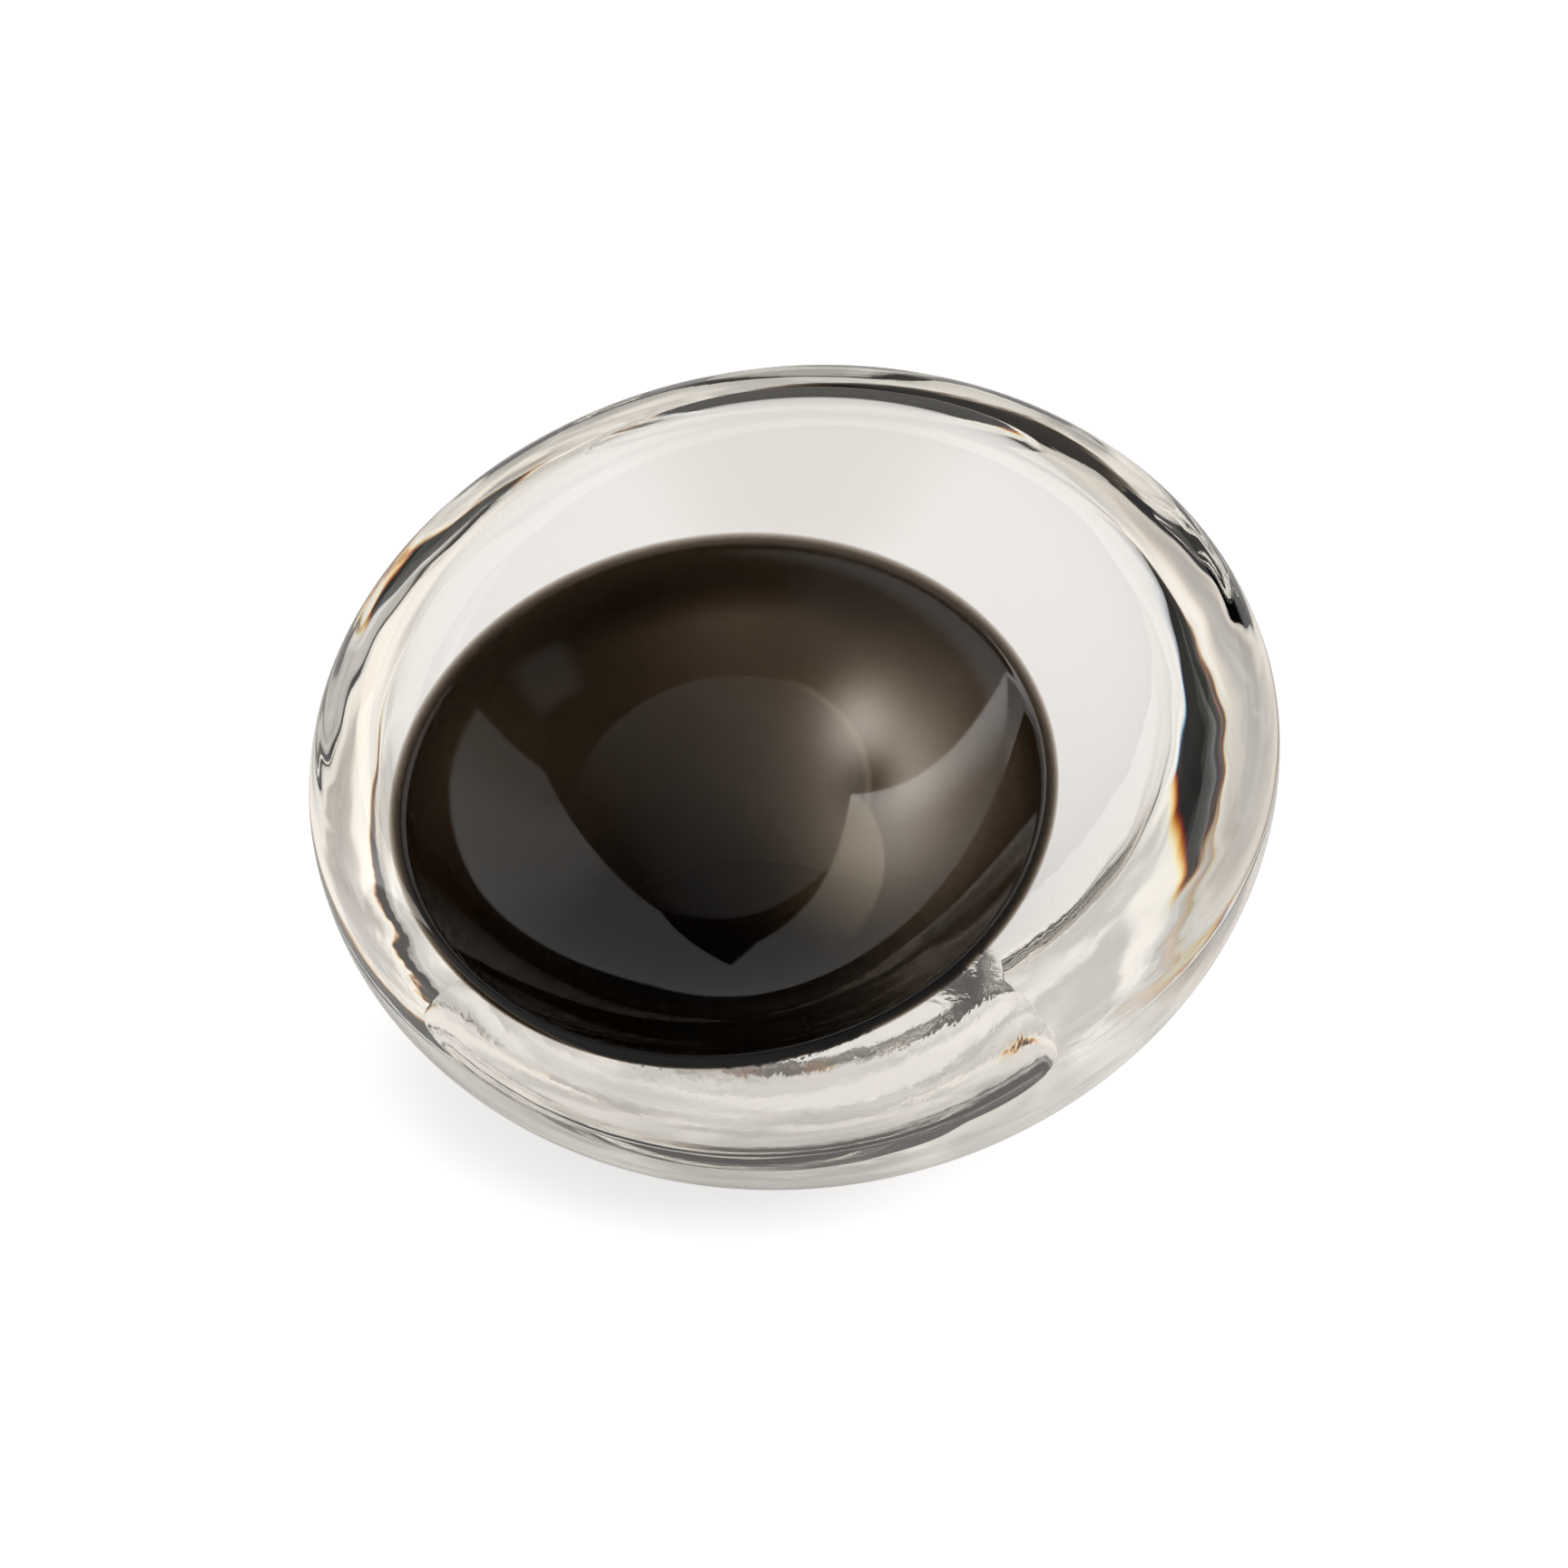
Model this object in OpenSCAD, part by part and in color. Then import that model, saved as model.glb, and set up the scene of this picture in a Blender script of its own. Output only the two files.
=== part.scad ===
/*
Smoked-well glass pebble paperweight.

A thick clear glass pebble leans towards the user on a ground flat base. A
shallow round well sinks into its top face, well off the middle, and the well
is lined with a thin fused layer of smoked brown glass.

Two glasses, fused hot into one body:
  - clear_pebble : the clear glass, with the socket that holds the lining
  - smoked_well  : the smoked lining, a bowl of even thickness

Units are millimetres, +Z is up, the ground base lies on Z = 0 and the
bounding box is centred over the origin. The low side of the lean faces -Y.
The well sits towards the low side, turned a little about the pebble's axis.
*/

/* [Pebble] */

// Radius of the pebble at its widest, mm
pebble_r = 56; // [40:0.5:75]
// Radius of the rounded shoulder between side and top face, mm
shoulder_r = 9; // [5:0.5:14]
// Depth of the full underside curve below the widest line, mm
underside_depth = 34; // [26:0.5:45]
// Lean of the top face towards -Y, degrees
lean = 20; // [10:0.5:23]
// Height of the pebble's centre above the ground base, mm
centre_height = 31; // [27:0.5:34]

/* [Well] */

// Radius of the well where it meets the top face, mm
well_r = 36.4; // [25:0.1:42]
// Depth of the well below the top face, mm
well_depth = 15.2; // [6:0.1:18]
// How flat the well's floor is: 2 is a plain bowl, 4 is flat with steep walls
well_flatness = 2.85; // [2:0.05:4]
// Least clear glass left between the well and the pebble's widest line, mm
well_margin = 5.9; // [3:0.1:12]
// Bearing of the well from the low side, degrees clockwise from above
well_bearing = 16; // [-60:1:60]

/* [Smoked lining] */

// Thickness of the smoked lining, mm
lining_t = 1.6; // [1:0.1:3]

/* [Hidden] */
$fn = 180;

// Clear glass and smoked glass
clear_colour = [0.93, 0.94, 0.92, 0.35];
smoke_colour = [0.13, 0.09, 0.06, 0.9];

// Height of the bowl's outline carried above the top face, so that it cuts clean
bowl_top = 2;
// Steps along the bowl's outline
bowl_steps = 44;

// The well lies as far off the middle as that margin lets it
well_offset = pebble_r - well_margin - well_r;

// Outline of the bowl at a share k of the well's radius, from the top face
function bowl_x(k) = well_r * k;
function bowl_z(k) = well_depth * (pow(k, well_flatness) - 1);
function bowl_slope(k) = atan(well_depth * well_flatness * pow(k, well_flatness - 1) / well_r);
// Share of the well's radius at which the outline has climbed to bowl_top
k_top = pow(1 + bowl_top / well_depth, 1 / well_flatness);
rim_slope = bowl_slope(1);

// The box of the leaning pebble, to centre it over the origin
reach_high = sqrt(pow(pebble_r * cos(lean), 2) + pow(underside_depth * sin(lean), 2));
reach_low = (pebble_r - shoulder_r) * cos(lean) + shoulder_r;
centre_y = (reach_low - reach_high) / 2;

assert(well_offset >= 0, "the well is too wide for the pebble");
assert(rim_slope < 70, "the well is too deep for its radius");
assert(centre_height - (well_depth - shoulder_r) - lining_t > 4, "the well must leave a thick floor");

// Puts the upright pebble at its lean, over the origin
module leaned() {
    translate([0, centre_y, centre_height])
        rotate([lean, 0, 0])
            children();
}

// Half of the pebble's outline, on the axis at x = 0
module pebble_outline() {
    // rounded shoulder and flat top face
    intersection() {
        translate([pebble_r - shoulder_r, 0]) circle(r = shoulder_r);
        translate([pebble_r - shoulder_r, 0]) square([shoulder_r, shoulder_r]);
    }
    square([pebble_r - shoulder_r, shoulder_r]);
    // underside
    intersection() {
        scale([pebble_r, underside_depth]) circle(r = 1);
        translate([0, -underside_depth]) square([pebble_r, underside_depth]);
    }
}

// The solid pebble with neither socket nor well
module pebble_solid() {
    intersection() {
        leaned() rotate_extrude() pebble_outline();
        translate([-2 * pebble_r, -2 * pebble_r, 0]) cube([4 * pebble_r, 4 * pebble_r, 3 * pebble_r]);
    }
}

// Half of the bowl's outline, grown outwards by g
module bowl_outline(g) {
    wall = [for (i = [0:bowl_steps])
        let (k = k_top * i / bowl_steps, a = bowl_slope(k))
        [bowl_x(k) + g * sin(a), bowl_z(k) - g * cos(a)]];
    end = wall[bowl_steps];
    polygon(concat(wall, [[end[0], bowl_top + g], [0, bowl_top + g]]));
}

// The hollow of the well, or the socket of the lining when grown
module bowl(g) {
    leaned()
        rotate([0, 0, -well_bearing])
            translate([0, -well_offset, shoulder_r])
                rotate_extrude() bowl_outline(g);
}

// Clear glass pebble
module clear_pebble() {
    color(clear_colour)
        difference() {
            pebble_solid();
            bowl(lining_t);
        }
}

// Smoked lining of the well
module smoked_well() {
    color(smoke_colour)
        difference() {
            intersection() {
                pebble_solid();
                bowl(lining_t);
            }
            bowl(0);
        }
}

clear_pebble();
smoked_well();
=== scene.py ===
# Smoked-well glass pebble paperweight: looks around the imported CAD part.
import math

import bmesh
import bpy
import numpy as np
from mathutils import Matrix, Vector


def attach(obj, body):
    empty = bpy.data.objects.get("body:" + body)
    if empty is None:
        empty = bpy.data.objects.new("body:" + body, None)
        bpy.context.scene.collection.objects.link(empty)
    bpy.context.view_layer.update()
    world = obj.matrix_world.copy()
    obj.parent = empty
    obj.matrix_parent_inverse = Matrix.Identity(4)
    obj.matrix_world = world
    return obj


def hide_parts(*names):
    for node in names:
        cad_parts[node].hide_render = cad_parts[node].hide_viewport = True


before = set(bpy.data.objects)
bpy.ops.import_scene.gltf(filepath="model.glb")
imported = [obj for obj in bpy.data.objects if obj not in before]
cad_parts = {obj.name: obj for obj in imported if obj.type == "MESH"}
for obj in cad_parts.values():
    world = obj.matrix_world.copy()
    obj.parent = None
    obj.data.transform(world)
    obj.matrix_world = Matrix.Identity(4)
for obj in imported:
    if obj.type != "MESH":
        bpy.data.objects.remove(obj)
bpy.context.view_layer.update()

scene = bpy.context.scene
MM = 0.001

# ---- the part's own sizes, mm, as in part.scad
PEBBLE_R, SHOULDER_R, UNDERSIDE = 56.0, 9.0, 34.0
FACE_R = PEBBLE_R - SHOULDER_R  # the flat top face
LEAN, CENTRE_HEIGHT = math.radians(20.0), 31.0
WELL_R, WELL_DEPTH, FLATNESS, WELL_MARGIN = 36.4, 15.2, 2.85, 5.9
WELL_OFFSET = PEBBLE_R - WELL_MARGIN - WELL_R
BEARING = math.radians(-16.0)
LINING_T = 1.6

# ---- what hand work adds to the CAD shapes
BELLY, RINGS = 0.012, 0.00012  # shares by which the underside lies inside its CAD curve
EDGE = 0.55  # reach of the polished edge on each side of the rim, mm
GAP, SINK = 0.02, 0.32  # clearance of the lining from the well and from the top face, mm
DENSITY = 2100.0  # absorption of the smoke in a lining as thick as the CAD one, 1/m
DENSER = 1.5  # the smoke here is this much denser, and its layer as much thinner

cos_lean, sin_lean = math.cos(LEAN), math.sin(LEAN)
cos_turn, sin_turn = math.cos(BEARING), math.sin(BEARING)
CENTRE_Y = (FACE_R * cos_lean + SHOULDER_R - math.hypot(PEBBLE_R * cos_lean, UNDERSIDE * sin_lean)) / 2

STEPS = 600  # points round each ring of a mesh
HALVINGS = 50  # steps of each search by halving
around = np.linspace(0, 2 * math.pi, STEPS, endpoint=False)


# ---- shapes
def placed(p):
    """From the well's frame (axis turned by the bearing, before the lean) to the row frame, mm."""
    x0, y0, z = p[..., 0], p[..., 1], p[..., 2]
    x = x0 * cos_turn - y0 * sin_turn
    y = x0 * sin_turn + y0 * cos_turn
    away = y * cos_lean - z * sin_lean
    up = y * sin_lean + z * cos_lean
    return np.stack([x, away + CENTRE_Y, up + CENTRE_HEIGHT], -1)


def halved(lo, hi, past):
    """Where past(value) turns true between lo and hi, for each azimuth."""
    for _ in range(HALVINGS):
        mid = (lo + hi) / 2
        over = past(mid)
        hi, lo = np.where(over, mid, hi), np.where(over, lo, mid)
    return (lo + hi) / 2


def bowl_steepness(k):
    """Slope of the bowl times the well's radius, at a share k of that radius, mm."""
    return WELL_DEPTH * FLATNESS * k ** (FLATNESS - 1)


def bowl(k, grown=0.0):
    """Radius from the well's axis and height at a share k of its radius, grown outwards."""
    slope = np.arctan(bowl_steepness(k) / WELL_R)
    height = SHOULDER_R + WELL_DEPTH * (k**FLATNESS - 1)
    return WELL_R * k + grown * np.sin(slope), height - grown * np.cos(slope)


def top_z(r):
    """Height of the top face, and of the shoulder beyond it, at radius r from the pebble's axis."""
    q = np.clip((r - FACE_R) / SHOULDER_R, 0, 1)
    return SHOULDER_R * np.sqrt(1 - q * q)


def rim_share(grown=0.0, drop=0.0):
    """Share k, per azimuth, at which the bowl meets the top face or the shoulder."""

    def above_face(k):
        r, z = bowl(k, grown)
        return z > top_z(np.hypot(r * np.cos(around), r * np.sin(around) - WELL_OFFSET)) - drop

    return halved(np.full(STEPS, 0.5), np.full(STEPS, 1.2), above_face)


def bowl_grid(k_end, grown, rows):
    """Rings of the bowl from its middle to k_end, grown by a length or by a function of the place."""
    k = np.linspace(0, 1, rows)[:, None] * k_end[None, :]
    if callable(grown):
        grown = grown(WELL_R * k * np.cos(around), WELL_R * k * np.sin(around))
    r, z = bowl(k, grown)
    return np.stack([r * np.cos(around), r * np.sin(around) - WELL_OFFSET, z], -1)


def smooth(t):
    """Smooth step from 0 to 1."""
    t = np.clip(t, 0, 1)
    return t * t * (3 - 2 * t)


# Depth of the lining's colour over the well, as a share of an even lining's, with what each lobe adds:
# amount, middle x and y, width, mm
DEPTH = 1.60
LOBES = (
    (-0.85, 12.8, 14.9, 13.4),  # thin towards the upper right
    (0.68, 3.5, -10.8, 11.5),  # thick in the low half
    (-0.50, 2, 23.5, 4),  # thin patches along the back wall
    (-0.42, -17, 28, 8),
    (-0.40, 14.8, 4.4, 10.4),  # thin on the right
    (0.30, 1, -11, 6),
    (-0.22, 8, 23, 5),
    (-0.15, 13, 19, 4),
    (0.42, 7.8, 16.8, 2.2),  # a small dark knot beside the brightest place
    (-0.10, -4, 24, 7),
    (-0.30, -31, -8, 10),  # thin along the left wall
)
BACK_RIM, BACK_AZIMUTH, BACK_WIDTH = 0.55, 128, 30  # thick under the rim at the back left, degrees


def gather(x, y):
    """Thickness of the smoked layer over the well, mm, as a hand-gathered layer has it."""
    depth = DEPTH
    for amount, cx, cy, width in LOBES:
        depth = depth + amount * np.exp(-((x - cx) ** 2 + (y - cy) ** 2) / (2 * width * width))
    r, azimuth = np.hypot(x, y) / WELL_R, np.degrees(np.arctan2(y, x))
    at_back = np.exp(-(((azimuth - BACK_AZIMUTH) / BACK_WIDTH) ** 2))
    depth = depth + BACK_RIM * smooth((r - 0.82) / 0.10) * at_back
    at_rim = smooth((r - 0.90) / 0.10)
    return LINING_T * (depth / DENSER + (1 - depth / DENSER) * at_rim)


WAVES = 2.7  # more than what the rings' waves below add up to, so that they only take off


def dip(ph, a):
    """Share by which the underside lies inside its CAD curve: a lean belly with rings, in all up to 0.8 mm."""
    w = np.sin(17 * a + 1.3 + 0.9 * np.sin(ph + 0.5))
    w = w + 0.6 * np.sin(31 * a - 1.0 + 1.3 * np.sin(2 * ph + 1))
    w = w + 0.4 * np.sin(53 * a + 2.0 + 1.6 * np.sin(3 * ph + 2))
    w = w + 0.25 * np.sin(83 * a + 2.2 * np.sin(4 * ph))
    w = w + 0.35 * np.sin(5 * ph + 6 * a + 0.4)
    w = w + 0.12 * np.sin(13 * ph + 9 * a)
    return BELLY * (1 - np.cos(2 * a)) + RINGS * (w + WAVES) * (1 - np.exp(-a / 0.05))


def outward(rim):
    """Unit directions in plan from the well's axis to each point of its rim."""
    d = rim[:, :2] - np.array([0.0, -WELL_OFFSET])
    return d / np.linalg.norm(d, axis=1)[:, None]


def fillet(well_end, rim, start, rows=8):
    """Polished edge between the bowl and the top face: an arc-like curve whose corner is the sharp rim."""
    t = np.linspace(0, 1, rows)[:, None, None]
    return (1 - t) ** 2 * well_end + 2 * t * (1 - t) * rim + t * t * start


def face_edge(rim):
    """Where the flat top face ends, straight out from the rim, or the rim itself where it is past that."""
    d = outward(rim)
    b = (rim[:, :2] * d).sum(1)
    q = (rim[:, :2] ** 2).sum(1) - FACE_R**2
    t = np.where(q < 0, -b + np.sqrt(np.maximum(b * b - q, 0)), 0.0)
    return rim[:, :2] + d * t[:, None]


def under_curve(ph, a):
    """Points of the underside at azimuth ph and angle a below the widest line."""
    q = 1 - dip(ph, a)
    r = PEBBLE_R * np.cos(a)
    return np.stack([r * np.cos(ph) * q, r * np.sin(ph) * q, -UNDERSIDE * np.sin(a) * q], -1)


def foot_angle(ph):
    """Angle a at which the underside meets the ground base."""

    def below_base(a):
        y, z = PEBBLE_R * np.cos(a) * np.sin(ph + BEARING), UNDERSIDE * np.sin(a)
        return (y * sin_lean - z * cos_lean) * (1 - dip(ph, a)) + CENTRE_HEIGHT < 0

    return halved(np.zeros(STEPS), np.full(STEPS, math.pi / 2), below_base)


def shell_grid(rim, face_rows=30, shoulder_rows=70, under_rows=130, base_rows=8):
    """Top face from outside the rim, shoulder, underside and ground base."""
    edge = face_edge(rim)
    rows = []
    for s in np.linspace(0, 1, face_rows):
        u = rim[:, :2] + (edge - rim[:, :2]) * s
        rows.append(np.column_stack([u, top_z(np.hypot(u[:, 0], u[:, 1]))]))
    start = np.arccos(np.clip((np.hypot(edge[:, 0], edge[:, 1]) - FACE_R) / SHOULDER_R, 0, 1))
    ph = np.arctan2(edge[:, 1], edge[:, 0])
    for s in np.linspace(0, 1, shoulder_rows)[1:]:
        a = start * (1 - s)
        r = FACE_R + SHOULDER_R * np.cos(a)
        rows.append(np.stack([r * np.cos(ph), r * np.sin(ph), SHOULDER_R * np.sin(a)], -1))
    foot = foot_angle(ph)
    for s in np.linspace(0, 1, under_rows)[1:]:
        rows.append(under_curve(ph, foot * s))
    middle = np.array([0, 0, -CENTRE_HEIGHT / cos_lean])
    last = rows[-1]
    for s in np.linspace(0, 0.999, base_rows)[1:]:
        rows.append(last * (1 - s) + middle * s)
    return np.array(rows)


MERGE, LOW = 2e-8, 2e-6  # m: points this near are one, and faces this low are the base
SHARP = math.radians(28)


def mesh(name, grids, material, base=None):
    """One closed mesh from grids of rings that share their end rings; base is the ground face's material."""
    points, faces, first = [], [], 0
    for grid in grids:
        rings, steps, _ = grid.shape
        points.append(placed(grid).reshape(-1, 3) * MM)
        i, j = np.arange(rings - 1)[:, None], np.arange(steps)[None, :]
        k = (j + 1) % steps
        here, there = first + i * steps, first + (i + 1) * steps
        faces.append(np.stack([here + j, here + k, there + k, there + j], -1).reshape(-1, 4))
        first += rings * steps
    me = bpy.data.meshes.new(name)
    me.from_pydata(np.concatenate(points).tolist(), [], np.concatenate(faces).tolist())
    bm = bmesh.new()
    bm.from_mesh(me)
    bmesh.ops.remove_doubles(bm, verts=bm.verts, dist=MERGE)
    open_edges = [e for e in bm.edges if e.is_boundary]
    if open_edges:
        bmesh.ops.holes_fill(bm, edges=open_edges, sides=0)
    bmesh.ops.recalc_face_normals(bm, faces=bm.faces)
    bm.to_mesh(me)
    bm.free()
    me.polygons.foreach_set("use_smooth", np.ones(len(me.polygons), bool))
    me.set_sharp_from_angle(angle=SHARP)
    me.materials.append(material)
    if base:
        me.materials.append(base)
        centres = np.zeros(len(me.polygons) * 3)
        me.polygons.foreach_get("center", centres)
        me.polygons.foreach_set("material_index", (centres[2::3] < LOW).astype(np.int32))
    ob = bpy.data.objects.new(name, me)
    scene.collection.objects.link(ob)
    return ob


# ---- node helper
class Nodes:
    """The emptied node tree of a material or world, with short calls for the nodes used here."""

    def __init__(self, owner):
        owner.use_nodes = True
        self.n, self.l = owner.node_tree.nodes, owner.node_tree.links
        self.n.clear()

    def add(self, kind, **sockets):
        node = self.n.new(kind)
        for name, value in sockets.items():
            self.put(value, node.inputs[name.replace("_", " ")])
        return node

    def put(self, value, socket):
        if isinstance(value, bpy.types.NodeSocket):
            self.l.new(value, socket)
        else:
            socket.default_value = value

    def math(self, operation, *values):
        node = self.n.new("ShaderNodeMath")
        node.operation = operation
        for i, value in enumerate(values):
            self.put(value, node.inputs[i])
        return node.outputs[0]

    def chain(self, operation, result, *others):
        for value in others:
            result = self.math(operation, result, value)
        return result

    def times(self, *values):
        return self.chain("MULTIPLY", *values)

    def plus(self, *values):
        return self.chain("ADD", *values)

    def minus(self, *values):
        return self.chain("SUBTRACT", *values)

    def most(self, *values):
        return self.chain("MAXIMUM", *values)

    def ramp(self, value, lo, hi, start=0.0, end=1.0):
        node = self.n.new("ShaderNodeMapRange")
        node.interpolation_type = "SMOOTHSTEP"
        settings = {"Value": value, "From Min": lo, "From Max": hi, "To Min": start, "To Max": end}
        for name, setting in settings.items():
            self.put(setting, node.inputs[name])
        return node.outputs[0]

    def inside(self, value, lo, hi, soft=1.5):
        """1 where the value lies between lo and hi, with soft edges."""
        above = self.ramp(value, lo - soft, lo + soft)
        below = self.ramp(value, hi - soft, hi + soft, 1.0, 0.0)
        return self.times(above, below)

    def split(self, vector):
        node = self.n.new("ShaderNodeSeparateXYZ")
        self.l.new(vector, node.inputs[0])
        return node.outputs

    def colour(self, channels):
        node = self.n.new("ShaderNodeCombineColor")
        for value, socket in zip(channels, node.inputs):
            self.put(value, socket)
        return node.outputs[0]

    def mix(self, share, a, b):
        node = self.n.new("ShaderNodeMix")
        node.data_type = "RGBA"
        self.put(share, node.inputs["Factor"])
        self.put(a, node.inputs[6])
        self.put(b, node.inputs[7])
        return node.outputs[2]

    def mix_shader(self, share, a, b):
        node = self.n.new("ShaderNodeMixShader")
        self.put(share, node.inputs[0])
        self.l.new(a, node.inputs[1])
        self.l.new(b, node.inputs[2])
        return node.outputs[0]

    def rays(self):
        return self.n.new("ShaderNodeLightPath").outputs

    def finish(self, kind, **sockets):
        out = self.n.new(kind)
        for name, socket in sockets.items():
            self.l.new(socket, out.inputs[name])


# ---- materials
BUMP = 0.02 * MM


def clear_glass(name, rough=0.0, frost=0.0, bumps=150.0, reach=0.0):
    """Clear glass with fine bumps, all over or up to the height reach, m; frost is the share of white."""
    material = bpy.data.materials.new(name)
    n = Nodes(material)
    at = n.n.new("ShaderNodeTexCoord").outputs["Object"]
    noise = n.add("ShaderNodeTexNoise", Vector=at, Scale=bumps, Detail=3.0, Roughness=0.6)
    strength = n.ramp(n.split(at)[2], 0.0, reach, 1.0, 0.0) if reach else 1.0
    normal = n.add("ShaderNodeBump", Height=noise.outputs["Fac"], Distance=BUMP, Strength=strength).outputs[0]
    tint = (0.99, 0.985, 0.975, 1)
    body = n.add("ShaderNodeBsdfGlass", Color=tint, Roughness=rough, IOR=1.5, Normal=normal).outputs[0]
    if frost:
        white = n.add("ShaderNodeBsdfDiffuse", Color=(0.86, 0.84, 0.80, 1))
        body = n.mix_shader(frost, body, white.outputs[0])
    lets = n.add("ShaderNodeBsdfTransparent", Color=(0.97, 0.97, 0.97, 1))
    rays = n.rays()
    scatters = n.most(rays["Is Shadow Ray"], rays["Is Diffuse Ray"])
    n.finish("ShaderNodeOutputMaterial", Surface=n.mix_shader(scatters, body, lets.outputs[0]))
    return material


def smoked_glass():
    """Smoke inside the clear glass: nothing bends at its surface, and its thickness darkens the light."""
    material = bpy.data.materials.new("smoked_glass")
    n = Nodes(material)
    surface = n.add("ShaderNodeBsdfTransparent", Color=(1, 1, 1, 1))
    smoke = (0.2286, 0.1367, 0.0267, 1)
    volume = n.add("ShaderNodeVolumeAbsorption", Color=smoke, Density=DENSITY * DENSER)
    n.finish("ShaderNodeOutputMaterial", Surface=surface.outputs[0], Volume=volume.outputs[0])
    return material


FLOOR_COLOUR = (0.84, 0.82, 0.80, 1)
THROUGH_COLOUR = ((0.85, 0.09), (0.83, 0.10), (0.81, 0.11))  # per channel, and what the patch of painted shade takes off
SHADE_PATCH_X, SHADE_PATCH_Y, SHADE_PATCH_R = -0.018, 0.070, 0.016  # middle and radius of a round patch of painted shade on the floor, m


def floor_paint():
    """Pale, white to the camera, a little darker through the glass, most so in a patch of painted shade behind
    the part.
    """
    material = bpy.data.materials.new("floor")
    n = Nodes(material)
    rays = n.rays()
    at = n.split(n.n.new("ShaderNodeTexCoord").outputs["Object"])
    # painted shadow: a round patch of the floor behind the part, darker only where it is seen through the
    # glass
    dx, dy = n.minus(at[0], SHADE_PATCH_X), n.minus(at[1], SHADE_PATCH_Y)
    painted_shade = n.ramp(n.plus(n.times(dx, dx), n.times(dy, dy)), 0.0, SHADE_PATCH_R**2, 1.0, 0.0)
    through = n.colour([n.minus(bare, n.times(painted_shade, less)) for bare, less in THROUGH_COLOUR])
    glow = n.mix(rays["Is Transmission Ray"], (1, 1, 1, 1), through)
    strength = n.plus(n.times(rays["Is Camera Ray"], 0.52), n.times(rays["Is Transmission Ray"], 0.20))
    pale = n.mix(rays["Is Transmission Ray"], FLOOR_COLOUR, through)
    both = n.n.new("ShaderNodeAddShader")
    n.l.new(n.add("ShaderNodeBsdfDiffuse", Color=pale).outputs[0], both.inputs[0])
    n.l.new(n.add("ShaderNodeEmission", Color=glow, Strength=strength).outputs[0], both.inputs[1])
    n.finish("ShaderNodeOutputMaterial", Surface=both.outputs[0])
    return material


# ---- the clear pebble, with its ground base and the polished edge of the well
rim_k = rim_share()
rim = bowl_grid(rim_k, 0.0, 2)[-1]
well = bowl_grid(rim_k - EDGE / np.hypot(WELL_R, bowl_steepness(rim_k)), 0.0, 130)
beyond = rim[:, :2] + outward(rim) * EDGE
beyond = np.column_stack([beyond, top_z(np.hypot(beyond[:, 0], beyond[:, 1]))])
polished = clear_glass("clear_glass", reach=0.012)
ground = clear_glass("ground_glass", rough=0.03, frost=0.2, bumps=420.0)
pebble = mesh("glass_pebble", [shell_grid(beyond), fillet(well[-1], rim, beyond), well], polished, ground)
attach(pebble, "root")
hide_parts("clear_pebble")

# ---- the smoked lining: its inner and outer bowls, and a cap that stays below the top face
inner = bowl_grid(rim_share(GAP, SINK), GAP, 110)
edge_t = gather(WELL_R * np.cos(around), WELL_R * np.sin(around))
outer = bowl_grid(rim_share(edge_t, SINK), gather, 110)
cap = np.array([inner[-1] * (1 - s) + outer[-1] * s for s in np.linspace(0, 1, 7)])
cap[..., 2] = np.minimum(cap[..., 2], top_z(np.hypot(cap[..., 0], cap[..., 1])) - SINK)
lining = mesh("smoked_lining", [inner, outer, cap], smoked_glass())
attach(lining, "root")
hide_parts("smoked_well")

# ---- camera
AZ, EL, DIST = math.radians(-16.2), math.radians(33.1), 0.95
SENSOR_W, VIEW_W = 36, 180.196 * MM  # widths of the sensor, mm, and of the view at the part, m
lens = bpy.data.cameras.new("camera")
lens.sensor_width = SENSOR_W
lens.lens = SENSOR_W * DIST / VIEW_W
lens.shift_x, lens.shift_y = -0.0055, -0.01794
lens.clip_start = 0.01
camera = bpy.data.objects.new("camera", lens)
aim = Vector((0, CENTRE_Y, CENTRE_HEIGHT)) * MM
back = Vector((-math.sin(AZ) * math.cos(EL), -math.cos(AZ) * math.cos(EL), math.sin(EL)))
camera.location = aim + back * DIST
camera.rotation_euler = (-back).to_track_quat("-Z", "Y").to_euler()
scene.collection.objects.link(camera)
scene.camera = camera

# ---- floor
FLOOR_HALF, FLOOR_DROP = 4, 0.00005  # m
corners = [(x * FLOOR_HALF, y * FLOOR_HALF, 0) for x, y in ((-1, -1), (1, -1), (1, 1), (-1, 1))]
sheet = bpy.data.meshes.new("floor")
sheet.from_pydata(corners, [], [(0, 1, 2, 3)])
sheet.materials.append(floor_paint())
floor = bpy.data.objects.new("floor", sheet)
floor.location.z = -FLOOR_DROP
scene.collection.objects.link(floor)

# ---- world: the studio round the part, painted by direction in the camera's azimuth frame
studio = bpy.data.worlds.new("studio")
scene.world = studio
sky = Nodes(studio)
times, plus, minus, most, ramp, inside = sky.times, sky.plus, sky.minus, sky.most, sky.ramp, sky.inside
turn = sky.n.new("ShaderNodeVectorRotate")
turn.rotation_type = "Z_AXIS"
turn.inputs["Angle"].default_value = AZ
sky.l.new(sky.n.new("ShaderNodeTexCoord").outputs["Generated"], turn.inputs["Vector"])
X, Y, Z = sky.split(turn.outputs[0])
azm = times(sky.math("ARCTAN2", X, Y), math.degrees(1))  # degrees, 0 away from the camera, + to its right
elv = times(sky.math("ARCSINE", Z), math.degrees(1))  # degrees


def facing(azimuth, slope):
    """Highest Z that meets an upright panel facing this azimuth; slope is its height over its distance."""
    a = math.radians(azimuth)
    return times(plus(times(X, math.sin(a)), times(Y, math.cos(a))), slope)


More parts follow.
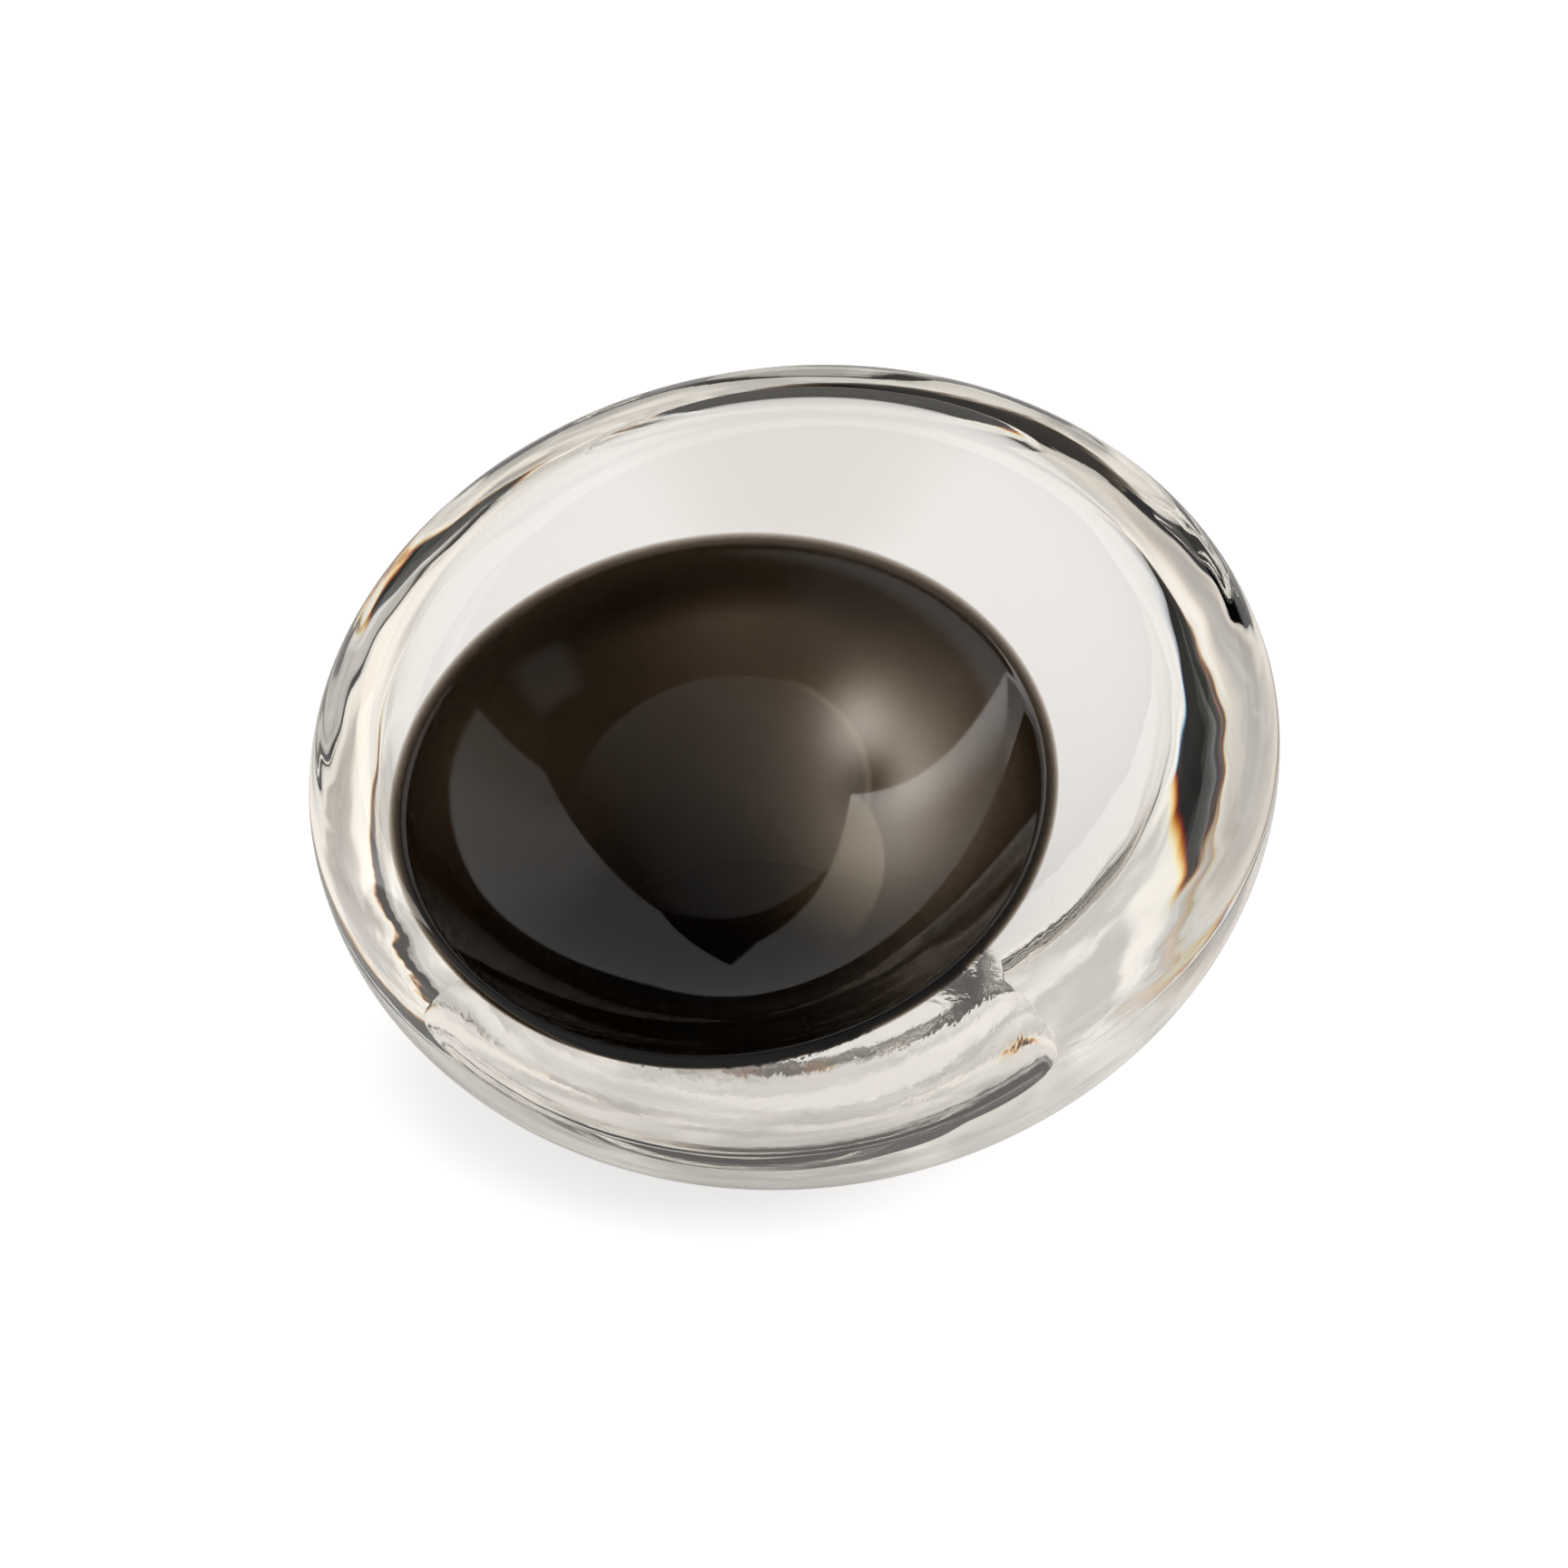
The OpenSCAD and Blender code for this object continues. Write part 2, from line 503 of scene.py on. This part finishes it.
def white_panel():
    """A big white panel on the far side, whose top edge is cut down into a V-shaped notch."""
    notch, lowest, right_rise, left_rise = -11.1, 1.175, 7.4, 2.4  # degrees, tangents and tangents per radian
    side = times(minus(azm, notch), math.radians(1))
    flat = sky.math("SQRT", plus(times(X, X), times(Y, Y)))
    vee = plus(lowest, most(times(side, right_rise), times(side, -left_rise)))
    right = times(sky.math("GREATER_THAN", side, 0.0), facing(36, 2.9))
    left = times(sky.math("LESS_THAN", side, 0.0), facing(-55, 1.87))
    edge = sky.math("MINIMUM", plus(right, left), times(vee, flat))
    return times(ramp(minus(edge, Z), -0.02, 0.02), inside(azm, -81, 100, 1.0))


def panel_foot():
    """1 above the panel's lower edge, which falls to both sides."""
    falls = plus(times(most(minus(5.0, azm), 0.0), 0.39), ramp(azm, 8, 45, 0.0, 9.5))
    return ramp(minus(elv, minus(37.0, falls)), -1.0, 1.0)


def panel_level():
    """The panel's brightness: more at both sides, less low on the left, and most along its left edge."""
    level = plus(0.55, times(inside(azm, 38, 82, 14), 0.30))
    level = plus(level, times(ramp(azm, -62, -36, 1.0, 0.0), ramp(elv, 20, 48), 0.55))
    level = minus(level, times(ramp(azm, -66, -36, 1.0, 0.0), ramp(elv, 20, 40, 1.0, 0.0), 0.15))
    return plus(level, times(ramp(azm, -81, -64, 1.0, 0.0), 2.4))


def dim_walls():
    """Walls on the near side, to the left and in one patch to the right."""
    left = times(inside(azm, -150, -86, 8), inside(elv, 8, 36, 5), 0.20)
    return plus(left, times(inside(azm, 117, 136, 4), inside(elv, 27, 41, 2), 0.26))


def diffuser(edge):
    """A dim round sheet overhead, above this elevation, brighter to the left and on the near side."""
    level = minus(0.24, plus(times(X, 0.65), times(Y, 0.41)))
    level = minus(level, plus(times(Y, Y, 0.46), times(X, Y, 1.19)))
    return times(ramp(minus(elv, edge), -0.4, 0.4), most(level, 0.03))


def warm_glare(panel, edge):
    """Warm light near the top of the panel's left part, and along the diffuser's left edge."""
    foot = minus(57.0, times(plus(azm, 79.0), 0.375))
    glare = times(ramp(minus(elv, foot), -0.6, 0.6), ramp(azm, -58, -24, 1.0, 0.0), panel, 1.7)
    lip = times(inside(minus(edge, elv), -0.2, 1.3, 0.3), inside(azm, -140, -66, 12))
    return most(glare, times(lip, 1.2))


def card(shift, depth, azimuths, elevations, soft=2.0):
    """What a dark card leaves of the light behind it; shift parts the colours a little at its edges."""
    (a_lo, a_hi), (e_lo, e_hi) = azimuths, elevations
    across = inside(azm, a_lo - shift, a_hi + shift, soft)
    up = inside(elv, e_lo + 0.5 * shift, e_hi + 0.5 * shift, soft)
    return minus(1.0, times(across, up, depth))


def through_glass(shift, cloth):
    """What shows through the glass: white surroundings, unevenly lit, with a few dark cards."""
    return times(
        times(minus(1.0, times(ramp(elv, 40, 66), 0.16)), plus(0.66, times(cloth, 0.36))),
        card(shift, 0.97, (-132, -76), (6, 35)),
        card(shift, 0.30, (-163, -146), (22, 40), 5.0),
        card(shift, 0.28, (144, 158), (34, 46), 6.0),
        card(shift, 0.55, (-112, -88), (36, 48), 5.0),
        card(shift, 0.88, (138, 181), (5, 29)),
        card(shift, 0.88, (-181, -172), (5, 29)),
    )


CHANNELS = ((-0.9, 1.0, 1.0), (0.0, 0.965, 0.86), (0.9, 0.91, 0.62))  # red, green, blue: shift, warmth, glare
DIFFUSE = 0.62  # what the world gives to rough surfaces
panel = white_panel()
sheet_edge = plus(60.3, plus(times(X, 12.0), times(Y, 17.0)))
horizon = times(ramp(elv, 7, 13, 1.0, 0.0), 0.85)
mirrored = most(times(panel, panel_foot(), panel_level()), horizon, dim_walls(), diffuser(sheet_edge))
mirrored = plus(mirrored, 0.02)
glare = warm_glare(panel, sheet_edge)
folds = sky.add("ShaderNodeTexNoise", Vector=turn.outputs[0], Scale=2.6, Detail=2.0, Distortion=0.8)
cloth = ramp(folds.outputs["Fac"], 0.36, 0.62)
rays = sky.rays()
passes, scatters = rays["Is Transmission Ray"], rays["Is Diffuse Ray"]
channels = []
for shift, warmth, hot in CHANNELS:
    light = times(plus(mirrored, times(glare, hot)), minus(1.0, passes))
    light = plus(light, times(through_glass(shift, cloth), warmth, passes))
    light = plus(times(light, minus(1.0, scatters)), times(scatters, DIFFUSE))
    channels.append(most(light, rays["Is Camera Ray"]))
background = sky.add("ShaderNodeBackground", Color=sky.colour(channels))
sky.finish("ShaderNodeOutputWorld", Surface=background.outputs[0])

# ---- one broad soft lamp overhead, for the shadow
disc = bpy.data.lights.new("overhead", "AREA")
disc.shape, disc.size, disc.energy = "DISK", 1.4, 9.0
lamp = bpy.data.objects.new("overhead", disc)
lamp.location = (0.25, 0.35, 1.5)
lamp.rotation_euler = (-Vector(lamp.location)).to_track_quat("-Z", "Y").to_euler()
lamp.visible_glossy = lamp.visible_transmission = lamp.visible_camera = False
scene.collection.objects.link(lamp)

BOUNCES = 32
scene.cycles.max_bounces = scene.cycles.transmission_bounces = BOUNCES
scene.cycles.transparent_max_bounces = scene.cycles.glossy_bounces = BOUNCES
scene.view_settings.view_transform = "Standard"
